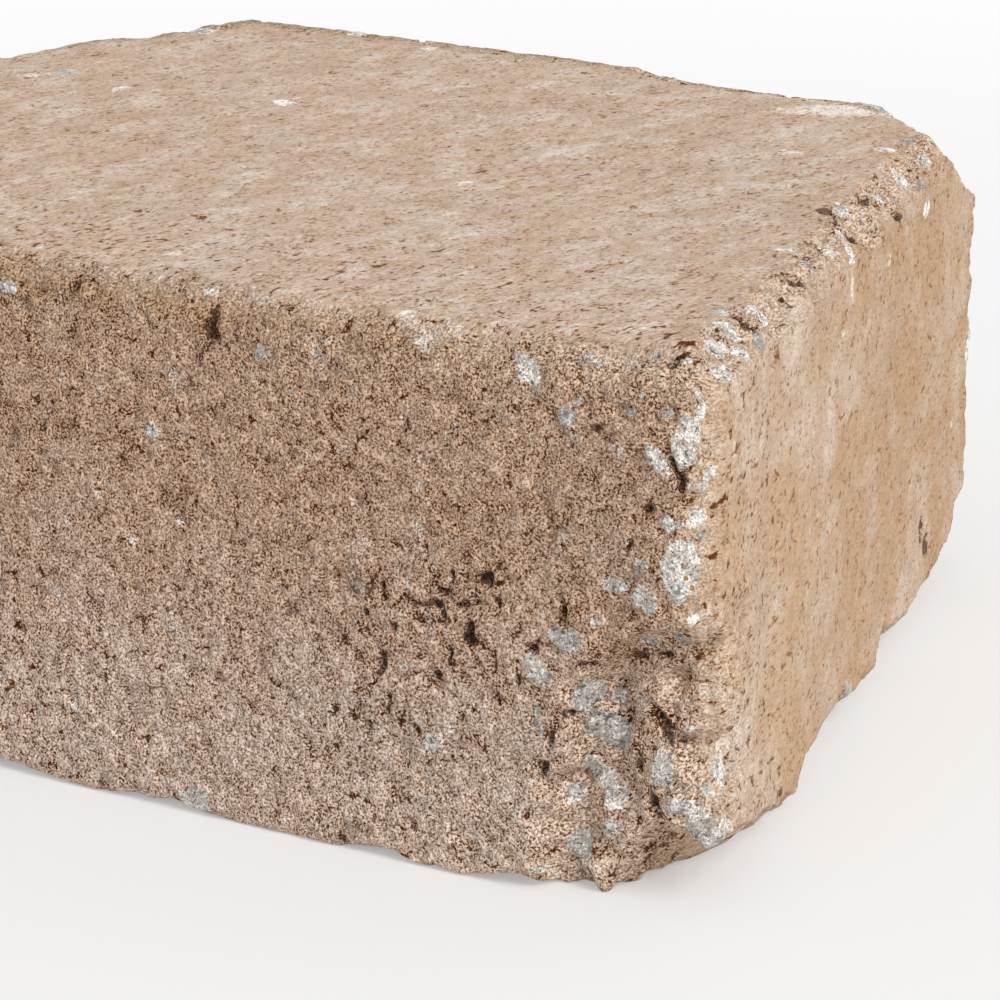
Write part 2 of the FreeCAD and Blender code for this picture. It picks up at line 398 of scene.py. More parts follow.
# %% Where the block is worn
WEAR_REACH = 7.0  # mm from an arris over which most of its wear lies
CRUMB_REACH = 11.0  # mm, the same for its crumbs
LUMP = 7.5  # mm, the size of the lumps in a fresh break
DENT = 13  # mm, the size of the dents along an arris
CRUMB = 4.5
SAND_HOLLOW = 3.0  # mm, the size of the grain's hollows
SAND_PIT = 4.5  # and of its pits

to_sides = np.stack([
    (1 - abs(u)) * half_width(v * DEPTH / 2) * math.cos(TAPER),
    (1 - abs(v)) * DEPTH / 2,
    (1 - abs(w)) * HEIGHT / 2,
], axis=1)
to_arris = np.sort(to_sides, axis=1)[:, 1]


def near_arris(reach):
    """1 on an arris, fading away from it as a bell curve with that reach in mm."""
    return np.exp(-((to_arris / reach) ** 2))


on_front = ease(-outward[:, 1], 0.58, 0.92)
on_side = ease(abs(outward[:, 0]), 0.5, 0.85)
on_bed = ease(-outward[:, 2], 0.8, 0.95)
at_arris = near_arris(WEAR_REACH)

# Concrete crumbled in the broken corner, on the arrises next to it and on the breaks
broken = ease(face_hollow(place[:, 0], place[:, 2]), 0.5, 4) * ease(-v, 0.75, 0.95)
crumbled = np.maximum(broken, at_arris * ease(u, 0.3, 0.95) * ease(-v, 0.5, 0.9))
crumbled = np.maximum(crumbled, at_arris * ease(u, 0.9, 0.98) * ease(w, 0.5, 0.9))
crumbled = np.maximum(crumbled * (1 - 0.6 * on_side), 0.7 * fresh)

# The bed's arrises stayed crisp, and so did the top's at the back and on the spared stretch
crisp = np.maximum(0.92 * low_down, 0.8 * ease(v, 0.85, 0.97) * ease(w, 0.6, 0.9))
crisp = np.maximum(crisp, spared)
print(f"crumbled: {100 * (crumbled > 0.5).mean():.0f} %, crisp: {100 * (crisp > 0.5).mean():.0f} %")

# %% Wear it, and give it a grain
dents = np.clip(rough(skin, DENT, 4, seed=21), -0.2, 2)
crumbs = np.clip(rough(skin, CRUMB, 3, seed=33), -0.15, 2)
wear = at_arris * (0.1 + 0.9 * dents) * (1 - crisp)
wear += near_arris(CRUMB_REACH) * 0.75 * crumbs * (1 - crisp)

# The breaks are lumpy: a point deep between the drops of the cellular noise lies lower
calmer = 1 - 0.6 * low_down
crumbling = crumbled * calmer
wear += (crumbling + 1.3 * broken) * 1.3 * np.clip(rough(skin, 7, 3, seed=29), -0.25, 2)
from_lump = cells(skin + 1.2 * rough(skin, 5, 2, seed=58)[:, None], LUMP, seed=51)
wear += (crumbling + 1.1 * broken * calmer) * 3.0 * np.clip(from_lump - 0.42, 0, 0.6)
wear += on_front * 0.30 * (0.5 + rough(skin, 8, 2, seed=61))
sway = 0.22 * (1 + rough(skin, 50, 3, seed=31)) * (1 - crisp)  # the flats aren't quite flat

# The grain is small hollows all over, and deeper pits here and there
grain = 0.42 * np.clip(rough(skin, SAND_HOLLOW, 2, seed=45) + 0.35, 0, 1) ** 2
grain += 1.1 * ease(rough(skin, SAND_PIT, 2, seed=47), 0.50, 0.95)
grain *= (0.30 + 0.70 * on_front + 0.8 * crumbled + 0.15 * (outward[:, 2] > 0.5)) * (1 - 0.8 * on_bed)

skin = skin - (wear + sway + grain)[:, None] * outward
skin[:, 2] = np.maximum(skin[:, 2], 0)
print(f"deepest wear {(wear + sway + grain).max():.1f} mm")

# %% [markdown]
# The skin becomes a mesh now, because a ray can only be followed to a mesh. Blender takes the
# points and the squares as plain lists. Smooth shading hides the squares, not the form.


# %% Make the skin a mesh
def mesh_object(name, points, polygons):
    """A mesh object from points in mm and polygons, at the origin."""
    mesh = bpy.data.meshes.new(name)
    mesh.from_pydata((points * MM).tolist(), [], polygons.tolist())
    mesh.shade_smooth()
    thing = bpy.data.objects.new(name, mesh)
    bpy.context.collection.objects.link(thing)
    return thing


block = mesh_object("tumbled_block", skin, faces)
bpy.context.view_layer.update()
print("mesh of", len(block.data.vertices), "points and", len(block.data.polygons), "squares")

# %% [markdown]
# Some marks are placed where the picture shows them. Each is given by the pixel at its middle,
# which is followed to the skin, its length and breadth in mm in the skin, and its lean, turned
# anticlockwise from level. They are listed: stones that the worn cement bares, clefts and
# holes between badly packed lumps, and pale smears of lime. Noise alone would put them
# anywhere, and these are what an eye knows this block by.

# %% The stones in the picture
GRAVEL = [  # pixel x, y, length, breadth, lean, tone: 0 dark, 1 white, 2 with orange, -1 under cement
    (593, 361, 4.9, 2.3, -25, 0.95), (530, 372, 8.0, 3.6, -40, 0.9), (655, 357, 2.2, 1.8, 0, 0.35),
    (688, 360, 2.8, 1.4, 0, 0.9), (713, 347, 9.0, 4.6, -25, 0.8), (740, 352, 4.4, 3.0, 60, 0.75),
    (721, 376, 4.6, 4.0, 70, 0.8), (642, 395, 1.9, 1.7, 0, 0.9), (631, 414, 2.2, 1.5, 0, 0.35),
    (579, 402, 2.4, 1.8, 0, 0.4), (665, 411, 2.8, 2.4, 20, 0.6), (701, 414, 3.2, 1.6, 85, 1.0),
    (698, 391, 2.6, 1.4, 90, 0.8), (684, 442, 8.2, 5.2, 78, 0.75), (654, 459, 6.4, 3.2, -50, 1.0),
    (710, 471, 3.0, 2.4, 40, 0.6), (566, 420, 4.4, 4.0, 40, 0.45), (582, 453, 5.4, 4.4, 0, -1.0),
    (670, 524, 3.6, 2.7, -30, 0.75), (683, 522, 1.8, 1.5, 0, 0.9), (697, 519, 4.2, 3.4, 80, 0.9),
    (701, 534, 2.4, 2.0, 80, 0.15), (682, 567, 10.6, 7.2, 85, 2.0), (702, 487, 3.0, 2.4, 80, 0.85),
    (688, 487, 2.2, 1.5, 80, 0.9), (639, 565, 3.6, 2.2, 100, 0.6), (614, 583, 5.6, 2.7, 0, 0.5),
    (647, 599, 5.8, 4.6, -35, 0.6), (597, 622, 3.2, 2.5, 20, 0.75), (693, 618, 2.8, 2.2, 80, 0.85),
    (685, 637, 3.6, 3.2, 0, 0.25), (647, 639, 4.8, 2.0, -5, 0.5), (564, 639, 7.4, 4.8, -12, 0.6),
    (534, 670, 6.0, 4.0, -40, 0.85), (549, 676, 2.0, 1.6, 0, 0.15), (586, 694, 5.8, 4.8, 62, 0.45),
    (620, 696, 4.0, 3.4, 60, 0.5), (643, 702, 1.8, 1.4, 0, 0.6), (538, 721, 5.4, 2.2, -75, 0.4),
    (610, 729, 10.4, 5.6, -20, 0.4), (690, 731, 2.8, 2.2, 0, 0.6), (602, 770, 9.4, 4.4, -38, 1.0),
    (661, 770, 6.8, 4.8, 82, 0.85), (576, 794, 4.8, 4.2, 0, 1.0), (618, 799, 5.8, 3.8, 45, 1.0),
    (610, 827, 5.2, 3.0, 10, 0.95), (580, 842, 5.2, 4.6, 75, 0.45), (680, 807, 7.8, 3.4, 5, 0.9),
    (700, 819, 4.4, 3.2, 95, 0.95), (698, 831, 3.2, 2.8, 0, 0.05), (718, 770, 5.0, 3.6, 75, 0.8),
    (708, 792, 2.6, 2.2, 0, 0.6), (545, 868, 3.4, 1.6, 0, 0.8), (723, 312, 4.6, 4.0, 0, 0.4),
    (758, 315, 6.4, 4.0, -55, 0.8), (722, 325, 6.6, 3.4, 0, 0.8), (761, 342, 5.4, 4.0, 0, 0.2),
    (898, 181, 6.0, 6.0, -30, 0.8), (923, 185, 6.0, 2.4, -5, 0.05), (909, 141, 3.6, 5.0, 0, 0.15),
    (923, 162, 4.0, 3.6, 0, 0.5), (885, 150, 5.0, 5.0, -30, 0.7), (926, 206, 6.0, 4.4, 0, 0.85),
    (877, 199, 4.0, 4.0, 0, 0.9), (844, 211, 4.0, 4.6, 0, 0.7), (838, 233, 6.0, 2.8, -25, 1.0),
    (850, 254, 5.6, 4.6, 30, 0.8), (787, 250, 5.0, 3.0, -15, 1.0), (807, 266, 3.4, 3.4, 0, 0.35),
    (8, 285, 4.4, 2.8, 0, 0.9), (212, 292, 3.2, 2.6, 0, 0.85), (41, 49, 4.4, 4.0, 0, 0.1),
    (262, 352, 3.6, 3.0, 70, 0.35), (357, 580, 7.2, 3.6, -52, -0.5), (434, 742, 4.0, 3.4, 50, 0.9),
    (152, 432, 4.0, 2.8, 30, 0.95), (371, 698, 5.6, 5.2, 60, -1.0), (552, 492, 5.6, 4.4, 0, -1.0),
    (484, 622, 4.8, 4.4, 70, -1.0), (431, 690, 3.6, 2.4, 20, -1.0), (462, 594, 3.8, 3.4, 0, -1.0),
    (400, 730, 5.0, 4.0, 60, -1.0), (388, 645, 3.2, 4.0, 0, -1.0), (240, 640, 4.6, 4.2, 0, -1.0),
    (300, 690, 3.6, 3.0, 30, -1.0), (150, 700, 5.0, 4.4, 20, -1.0), (470, 755, 4.0, 3.6, 0, -1.0),
]

# %% The clefts and holes in the picture
# Each cleft is carved into the skin, and the finish paints it dark as its shade
CLEFTS = [  # pixel x, y, length, breadth, lean, depth
    (487, 578, 3.2, 2.6, 60, 2.6), (490, 586, 2.4, 1.6, 0, 1.8), (499, 567, 1.9, 1.0, 50, 1.0),
    (498, 603, 2.6, 0.9, 100, 1.4), (479, 603, 2.4, 1.0, 10, 1.6), (468, 605, 2.2, 1.1, 5, 1.6),
    (461, 607, 1.2, 0.9, 0, 1.0), (439, 605, 2.4, 1.3, 0, 1.8), (426, 606, 2.4, 0.8, 0, 1.2),
    (440, 590, 1.6, 1.0, 80, 1.4), (446, 592, 2.2, 0.7, 0, 1.0), (452, 575, 2.4, 0.9, 90, 1.3),
    (438, 575, 1.2, 1.0, 0, 1.2), (460, 576, 1.1, 0.9, 0, 0.9), (468, 576, 1.1, 0.9, 0, 0.9),
    (413, 601, 2.1, 0.9, -30, 1.4), (383, 585, 3.4, 0.9, 88, 1.5), (384, 598, 1.6, 1.1, 90, 1.4),
    (371, 583, 2.4, 0.8, 90, 1.2), (366, 612, 1.8, 1.3, 50, 1.6), (444, 617, 2.6, 0.8, 85, 1.4),
    (423, 623, 1.6, 1.0, 10, 1.4), (434, 620, 1.2, 0.8, 20, 1.0), (455, 618, 1.6, 0.8, 90, 1.1),
    (470, 631, 2.4, 1.6, 80, 2.0), (469, 643, 2.6, 2.0, 0, 2.2), (451, 655, 2.8, 0.9, 88, 1.8),
    (454, 667, 2.4, 1.4, 0, 1.8), (436, 675, 2.0, 1.4, 20, 1.6), (428, 683, 1.1, 0.9, 0, 1.2),
    (460, 672, 1.8, 0.7, 20, 1.0), (393, 627, 1.8, 1.0, 88, 1.4), (365, 628, 1.5, 1.1, 0, 1.2),
    (383, 659, 3.2, 1.2, 88, 1.6), (384, 668, 1.8, 1.0, 60, 1.4), (377, 675, 1.2, 0.9, 0, 1.0),
    (359, 656, 1.5, 0.9, 0, 1.1), (389, 695, 2.4, 0.8, 95, 1.2), (385, 709, 1.5, 1.0, 30, 1.4),
    (369, 721, 1.7, 1.5, 0, 1.8), (358, 705, 2.8, 0.7, 85, 1.0), (354, 717, 1.2, 0.9, 0, 1.0),
    (337, 708, 1.4, 1.2, 0, 1.3), (472, 711, 1.2, 1.0, 0, 1.1), (461, 718, 1.7, 0.9, 88, 1.2),
    (500, 703, 2.2, 0.9, 95, 1.2), (404, 721, 1.2, 0.9, 0, 1.0), (416, 730, 1.8, 0.7, -40, 1.0),
    (343, 639, 1.6, 1.3, 60, 1.1), (406, 674, 1.8, 0.6, 10, 0.9), (517, 679, 1.6, 0.9, 88, 1.2),
    (506, 683, 2.4, 0.7, 80, 1.0), (497, 669, 2.6, 0.7, 88, 1.0), (564, 612, 4.4, 1.0, 97, 1.8),
    (536, 650, 2.0, 1.7, 0, 1.8),
    (210, 322, 6.6, 2.0, 82, 2.6), (213, 338, 2.8, 2.2, 0, 1.8), (76, 284, 2.6, 1.4, 60, 1.4),
    (674, 362, 2.8, 1.4, 15, 1.4), (672, 461, 4.4, 1.2, 110, 1.8), (683, 482, 3.4, 1.3, 80, 1.6),
    (650, 511, 2.8, 1.2, 70, 1.4), (629, 546, 3.2, 0.9, 65, 1.3), (597, 430, 1.6, 1.2, 30, 1.2),
    (622, 648, 3.6, 0.8, 5, 0.9), (641, 653, 3.2, 1.5, 0, 1.3), (667, 653, 3.4, 0.9, -8, 0.9),
    (688, 655, 3.0, 0.8, 5, 0.8), (659, 714, 3.4, 1.3, -60, 2.0),
    (665, 727, 3.6, 1.8, -75, 2.6), (671, 741, 3.0, 1.3, -60, 2.0), (653, 799, 3.2, 1.6, -60, 2.2),
    (659, 812, 3.4, 1.8, -70, 2.4),
    (551, 738, 4.4, 1.4, 78, 1.8), (546, 770, 3.0, 1.5, 80, 1.1), (569, 712, 4.2, 1.1, -10, 1.6),
    (660, 849, 6.0, 1.5, -12, 1.6),
    (630, 720, 3.0, 1.2, 60, 1.6), (640, 760, 3.8, 1.0, 95, 1.8), (590, 664, 3.2, 1.0, 10, 1.4),
    (738, 310, 3.4, 1.4, -45, 1.8), (746, 323, 5.0, 2.4, -50, 2.2),
    (792, 330, 1.8, 1.4, 0, 1.0), (800, 282, 5.0, 1.8, -35, 1.2), (799, 258, 2.8, 1.8, 0, 1.6),
    (848, 352, 3.0, 0.8, 90, 0.8), (776, 346, 3.6, 1.4, 100, 1.4), (827, 211, 5.0, 5.0, -10, 1.6),
    (865, 200, 5.0, 2.2, -55, 1.8), (901, 219, 4.6, 2.0, -60, 1.6), (850, 238, 5.6, 4.0, -40, 1.8),
    (803, 258, 2.4, 1.8, 0, 1.2), (748, 193, 2.2, 2.2, 0, 1.0), (815, 246, 4.0, 1.6, -30, 1.4),
    (921, 531, 5.0, 4.4, 80, 1.6), (926, 546, 5.0, 5.0, 0, 1.6), (832, 316, 3.0, 1.0, 90, 0.8),
]

# %% The smears in the picture
SMEARS = [  # pixel x, y, length, breadth, lean, strength
    (340, 451, 8.0, 1.2, 20, 0.8), (304, 432, 5.6, 0.9, 15, 0.6), (402, 420, 1.8, 1.4, 0, 0.9),
    (412, 434, 2.4, 1.4, -60, 0.8), (176, 254, 3.6, 4.0, 0, 0.9), (463, 183, 4.0, 5.0, 0, 0.9),
    (450, 214, 5.0, 8.0, 0, 0.5), (452, 236, 6.0, 8.0, 0, 0.5), (470, 274, 5.0, 6.0, 0, 0.5),
    (410, 318, 6.0, 5.0, 0, 0.6), (420, 341, 4.4, 1.6, 0, 0.9), (455, 336, 5.0, 1.6, 30, 0.7),
    (848, 110, 26.0, 13.0, 0, 1.0), (788, 152, 9.0, 5.0, 0, 0.7), (853, 288, 8, 4.0, 88, 0.7),
    (888, 268, 9.0, 9.0, 80, 0.5), (842, 340, 8.0, 8.0, 88, 0.45), (846, 415, 9.0, 9.0, 85, 0.5),
    (763, 443, 4.5, 6.0, 80, 0.6), (797, 353, 4.0, 6.0, 80, 0.5), (832, 255, 10.0, 8.0, 0, 0.6),
    (735, 450, 6.0, 5.0, 80, 0.6), (812, 440, 16, 12, 88, 0.35),
    (951, 425, 4.5, 6.0, 90, 0.6), (808, 500, 20, 14, 92, 0.3), (806, 600, 14, 10, 90, 0.3),
    (730, 830, 6.0, 4.0, 80, 0.7), (720, 745, 5.0, 3.0, 70, 0.6), (150, 428, 3.6, 2.6, 40, 0.8),
    (65, 520, 5.0, 3.6, 60, 0.7), (60, 375, 3.0, 2.4, 0, 0.6), (180, 521, 2.6, 2.0, 0, 0.8),
    (72, 706, 5.0, 3.0, 20, 0.8), (130, 540, 5.0, 4.0, 20, 0.6), (95, 600, 12, 16, 0, 0.35),
    (455, 470, 4.0, 6.0, 90, 0.5), (505, 610, 4.0, 3.0, 0, 0.4), (590, 500, 5.0, 9.0, 0, 0.35),
    (484, 705, 3.0, 2.4, 0, 0.7), (430, 745, 3.6, 3.0, 40, 0.7), (450, 730, 6.0, 5.0, 0, 0.5),
]


# %% Follow the marks to the skin
def surface_under(px, py):
    """The number of the point nearest to where the ray through a pixel first meets the skin."""
    hit, point, _, _ = block.ray_cast(CAMERA_AT, sight(px, py))
    return int(((skin - np.array(point) / MM) ** 2).sum(axis=1).argmin()) if hit else None


def placed(marks):
    """The marks whose pixel meets the skin, with a point number in place of the pixel."""
    found = [(surface_under(px, py), *rest) for px, py, *rest in marks]
    return [mark for mark in found if mark[0] is not None]


gravel, clefts, smears = placed(GRAVEL), placed(CLEFTS), placed(SMEARS)
print(f"{len(gravel)} stones, {len(clefts)} clefts and {len(smears)} smears meet the skin")

# %% [markdown]
# The picture shows only the right half of the block. Left bare, the rest would look like
# another block. It gets stones, holes and smears of the same kinds, drawn at random from the
# same seed each time: most stones lie on the arrises, where the wear is deepest.

# %% More of them where the picture doesn't look
MORE_STONES = 150
MORE_HOLES = 90
MORE_SMEARS = 60
TONES = (-1.0, 0.15, 0.4, 0.6, 0.8, 1.0)
TONE_ODDS = (0.3, 0.1, 0.2, 0.15, 0.15, 0.1)
unseen = (u < -0.05) | (outward[:, 1] > 0.5) | (outward[:, 2] < -0.6)
worn_away = np.nonzero(unseen & ((to_arris < WEAR_REACH) | (fresh > 0.5)))[0]
flat = np.nonzero(unseen & (to_arris > WEAR_REACH))[0]
on_arrises = rng.choice(worn_away, MORE_STONES * 2 // 3)
spots = np.concatenate([on_arrises, rng.choice(flat, MORE_STONES // 3)])
lengths = rng.uniform(2.5, 9.0, len(spots))
for at, length in zip(spots, lengths):
    shade = rng.choice(TONES, p=TONE_ODDS)
    gravel.append((at, length, length * rng.uniform(0.45, 0.85), rng.uniform(-90, 90), shade))
on_flats = rng.choice(flat, MORE_HOLES // 2)
for at in np.concatenate([on_flats, rng.choice(worn_away, MORE_HOLES // 2)]):
    length = rng.uniform(1.4, 5.5)
    clefts.append((at, length, rng.uniform(0.9, 2.0), rng.uniform(-90, 90), rng.uniform(1.0, 2.4)))
for at in rng.choice(flat, MORE_SMEARS):
    smears.append((at, *rng.uniform(3, 9, 2), rng.uniform(-90, 90), rng.uniform(0.3, 0.8)))
print(f"in all {len(gravel)} stones, {len(clefts)} clefts and holes and {len(smears)} smears")

# %% [markdown]
# Every mark becomes a field over the skin: how many mm a point lies inside it. Painting the
# marks on the points would leave outlines as coarse as the mesh. The fields are smooth, so
# they survive on a thinned mesh, and the finish cuts them off at zero with a little noise,
# which gives crisp, broken outlines. A stone's outline is a ring of random facets.

# %% Turn the marks into fields
FACETS = 7
FARTHEST = -1.5  # mm, what the fields hold away from every mark
LIMIT = 1.6  # a mark is looked for within this many times its length
OFF_PLANE = 0.35  # and this share of that way off its own plane
STEEPEST = 0.35  # the sine of the tilt below which a mark lies flat, and the camera sets its level
MARK_SEED = 23
PROUD = 0.12  # mm that a stone stands proud of the skin
FURROW = 0.5  # mm, the depth of the furrow at its rim


def flat_place(at, lean, reach):
    """Which points lie within reach of a mark, and where they are along and across it in mm."""
    normal = outward[at]
    near = (abs(skin - skin[at]) < reach).all(axis=1)
    near = np.nonzero(near & (abs((skin - skin[at]) @ normal) < OFF_PLANE * reach))[0]
    level = np.cross([0, 0, 1], normal)
    if np.linalg.norm(level) < STEEPEST:
        level = np.array([math.cos(CAMERA_AZIMUTH), math.sin(CAMERA_AZIMUTH), 0])
    level = level - normal * (level @ normal)
    level /= np.linalg.norm(level)
    rise = np.cross(normal, level)
    turn = math.radians(lean)
    along = level * math.cos(turn) + rise * math.sin(turn)
    return near, (skin[near] - skin[at]) @ np.stack([along, np.cross(normal, along)], axis=1)


mark_draw = np.random.default_rng(MARK_SEED)
wobble = lumps(skin, 2.4, seed=73)
fine_wobble = lumps(skin, 1.5, seed=75)

stone = np.full(len(skin), FARTHEST)
tone = np.zeros(len(skin))
for at, length, breadth, lean, shade in gravel:
    near, local = flat_place(at, lean, max(length, breadth) * LIMIT)
    turns = (np.arange(FACETS) + mark_draw.uniform(-0.35, 0.35, FACETS)) * 2 * math.pi / FACETS
    facets = np.stack([np.cos(turns), np.sin(turns)])
    ratios = (local / [length / 2, breadth / 2]) @ facets / mark_draw.uniform(0.78, 1.05, FACETS)
    deep = (1 - ratios.max(axis=1)) * min(length, breadth) / 2 + 0.3 * wobble[near]
    over = deep > stone[near]
    stone[near] = np.where(over, deep, stone[near])
    tone[near] = np.where(over, shade, tone[near])

cleft = np.full(len(skin), FARTHEST)
carved = np.zeros(len(skin))
for at, length, breadth, lean, depth in clefts:
    near, local = flat_place(at, lean, max(length, breadth) * LIMIT)
    reach = np.hypot(local[:, 0] / (length / 2), local[:, 1] / (breadth / 2))
    ragged = (0.5 * fine_wobble[near] + 0.4 * wobble[near]) * min(1, breadth / 1.6)
    deep = (1 - reach) * breadth / 2 + ragged
    cleft[near] = np.maximum(cleft[near], deep)
    carved[near] = np.maximum(carved[near], depth * ease(deep, -0.25, 0.30 + 0.25 * breadth))

smear = np.zeros(len(skin))
for at, length, breadth, lean, strength in smears:
    near, local = flat_place(at, lean, max(length, breadth) * LIMIT)
    reach = np.hypot(local[:, 0] / (length / 2), local[:, 1] / (breadth / 2)) + 0.25 * wobble[near]
    smear[near] = np.maximum(smear[near], strength * np.exp(-(reach**2)))

# A stone is smoother than the concrete, stands a little proud, and has a furrow at its rim
calm = ease(stone, -0.1, 0.4)
rim = np.exp(-(((stone + 0.25) / 0.35) ** 2)) * ease(wobble, -0.2, 0.5)
skin = skin + (calm * (0.7 * grain + PROUD) - FURROW * rim - carved)[:, None] * outward
skin[:, 2] = np.maximum(skin[:, 2], 0)
block.data.vertices.foreach_set("co", (skin * MM).astype(np.float32).ravel())
shares = [100 * (field > 0).mean() for field in (stone, cleft)]
print(f"stones cover {shares[0]:.1f} % and clefts {shares[1]:.1f} % of the skin")

# %% [markdown]
# The lattice is far finer than a piece may be, so the Decimate modifier spends the triangles
# where the surface turns. Before that, each point is told how much it belongs to the face,
# to a side or to an arris, and the fields of its marks, so that the finish can read them.
# Slow clouds of colour are stored the same way. The finish could make them too, but a noise
# that is worked out here once costs a render nothing.

# %% Marks for the finish, and thinning
MOST_TRIANGLES = 196_000
BROWN_REACH = 9.0  # mm from an arris over which the concrete is browner


def clouds(size, seed):
    """Noise over the skin with lumps of that size in mm, less its mean, over its spread."""
    field = rough(skin, size, 3, seed)
    return (field - field.mean()) / field.std()


marks = {
    "on_front": on_front,
    "on_side": on_side,
    "on_top": ease(outward[:, 2], 0.45, 0.9),
    "at_arris": near_arris(BROWN_REACH),
    "broken": crumbled,
    "stone": stone,
    "tone": tone,
    "cleft": cleft,
    "smear": smear,
    "clouds_30": clouds(30, 81),
    "clouds_28": clouds(28, 84),
    "clouds_20": clouds(20, 87),
    "clouds_9": clouds(9, 90),
    "clouds_6": clouds(6, 93),
}
for name, values in marks.items():
    attribute = block.data.attributes.new(name, "FLOAT", "POINT")
    attribute.data.foreach_set("value", values.astype(np.float32))
thin = block.modifiers.new("thin", "DECIMATE")
thin.ratio = min(1, MOST_TRIANGLES / (2 * len(faces)))
bpy.context.view_layer.objects.active = block
bpy.ops.object.modifier_apply(modifier=thin.name)
block.data.calc_loop_triangles()
print("block has", len(block.data.loop_triangles), "triangles, marks kept:",
      [name for name in marks if name in block.data.attributes])

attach(block, "root")
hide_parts("wall_block")


# %% [markdown]
# A finish is a recipe of nodes. It could be wired by hand in the Shader Editor, but there the
# numbers are hard to see. These helpers add a node or two each and return its output, with
# sizes in mm, so that a finish reads as a list of what lies on the concrete.

# %% Helpers for finishes
class Finish:
    """A material being written. at holds the object coordinates in mm."""

    def __init__(self, name):
        self.material = bpy.data.materials.new(name)
        self.material.use_nodes = True
        self.tree = self.material.node_tree
        self.shader = self.tree.nodes["Principled BSDF"]
        coordinates = self.tree.nodes.new("ShaderNodeTexCoord")
        self.at = self.stretch(coordinates.outputs["Object"], (1 / MM, 1 / MM, 1 / MM))

    def node(self, kind, inputs, **settings):
        """One node: inputs maps a socket's name or number to a value or another output."""
        made = self.tree.nodes.new("ShaderNode" + kind)
        for setting, value in settings.items():
            setattr(made, setting, value)
        for socket, value in inputs.items():
            if isinstance(value, bpy.types.NodeSocket):
                self.tree.links.new(value, made.inputs[socket])
            else:
                made.inputs[socket].default_value = value
        return made

    def stretch(self, vector, scale, turn=(0, 0, 0)):
        return self.node("Mapping", {"Vector": vector, "Scale": scale, "Rotation": turn}).outputs[0]

    def noise(self, size, detail=2.0, roughness=0.55, at=None):
        """Noise from 0 to 1 about 0.5, with features of that size in mm."""
        inputs = {"Vector": at or self.at, "Scale": 1 / size, "Detail": detail, "Roughness": roughness}
        return self.node("TexNoise", inputs).outputs[0]

    def swing(self, size, most, detail=2.0, roughness=0.55, at=None):
        """The same noise, from about minus to plus that most."""
        level = self.math("SUBTRACT", self.noise(size, detail, roughness, at), 0.5)
        return self.math("MULTIPLY", level, 4 * most)

    def grains(self, size, at=None):
        """Grains of that size in mm: the distance from their middle, and a random colour each."""
        made = self.node("TexVoronoi", {"Vector": at or self.at, "Scale": 1 / size})
        return made.outputs["Distance"], made.outputs["Color"]

    def math(self, operation, first, second=0.0, third=0.0):
        inputs = {0: first, 1: second, 2: third}
        return self.node("Math", inputs, operation=operation).outputs[0]

    def add(self, first, *others):
        for other in others:
            first = self.math("ADD", first, other)
        return first

    def times(self, first, *others):
        for other in others:
            first = self.math("MULTIPLY", first, other)
        return first

    def without(self, share):
        return self.math("SUBTRACT", 1, share)

    def step(self, value, start, end, low=0.0, high=1.0):
        """Runs smoothly from low to high as value goes from start to end."""
        inputs = {0: value, 1: start, 2: end, 3: low, 4: high}
        return self.node("MapRange", inputs, interpolation_type="SMOOTHSTEP").outputs[0]

    def mix(self, share, first, second, blend="MIX"):
        inputs = {0: share, 6: first, 7: second}
        return self.node("Mix", inputs, data_type="RGBA", blend_type=blend).outputs[2]

    def mark(self, name):
        return self.node("Attribute", {}, attribute_name=name).outputs["Fac"]

    def set(self, socket, value):
        if isinstance(value, bpy.types.NodeSocket):
            self.tree.links.new(value, self.shader.inputs[socket])
        else:
            self.shader.inputs[socket].default_value = value

    def curve(self, value, points):
        """A value read off straight lines between points, given as (value, result up to 2)."""
        made = self.node("ValToRGB", {0: value})
        ramp = made.color_ramp
        while len(ramp.elements) < len(points):
            ramp.elements.new(0.5)
        for element, (place, result) in zip(ramp.elements, points):
            element.position = place
            element.color = (result / 2, result / 2, result / 2, 1)
        return self.times(made.outputs[0], 2)

    def relief(self, height):
        """Bump from a height in mm."""
        bump = self.node("Bump", {"Height": height, "Distance": MM, "Strength": 1.0})
        self.tree.links.new(bump.outputs[0], self.shader.inputs["Normal"])


# %% [markdown]
# The concrete is one mix with four looks: the open face, whose grains leave gaps between them
# that are painted dark as their shade, the sides with the pale streaks that the mould drew, the
# sandy top, and the broken places where warmer matrix shows. A photograph could be wrapped round
# the block, but it would bring its own light and show one side only, so the finish is worked out
# from noise.
# Its colour changes slowly: paler at the foot, browner on the arrises and warmer towards the
# back.

# %% The concrete's colours
TAN = (0.585, 0.385, 0.24, 1)
TAN_BACK = (0.545, 0.345, 0.20, 1)  # the sides towards the back, warmer
TAN_FACE = (0.60, 0.385, 0.25, 1)
TAN_LOW = (0.76, 0.57, 0.445, 1)  # the foot of the face, paler
TAN_TOP = (0.62, 0.45, 0.335, 1)
TAN_WORN = (0.56, 0.385, 0.25, 1)  # patches of the top where the lime is worn off
GREY_TAN = (0.52, 0.41, 0.32, 1)
RUST_TAN = (0.62, 0.425, 0.28, 1)
BROKEN_TAN = (0.75, 0.545, 0.39, 1)
BROWN = (0.50, 0.305, 0.165, 1)
PALE = (0.78, 0.69, 0.59, 1)
LIME = (0.93, 0.84, 0.73, 1)
# The painted shade in the clefts and holes
HOLE_SHADE = (0.085, 0.038, 0.02, 1)
WARM_FROM, WARM_TO = -70, 60  # y between which the sides turn warmer
FOOT_TOP, FOOT_FULL = 62, 8  # heights between which the face turns paler
DRAWN_OUT = 0.55  # of the true way back, for the grain's coordinates past the face's arris
DRAWN_SHIFT = 2.0  # mm added to it, so that the drawing out starts 4.4 mm behind the face


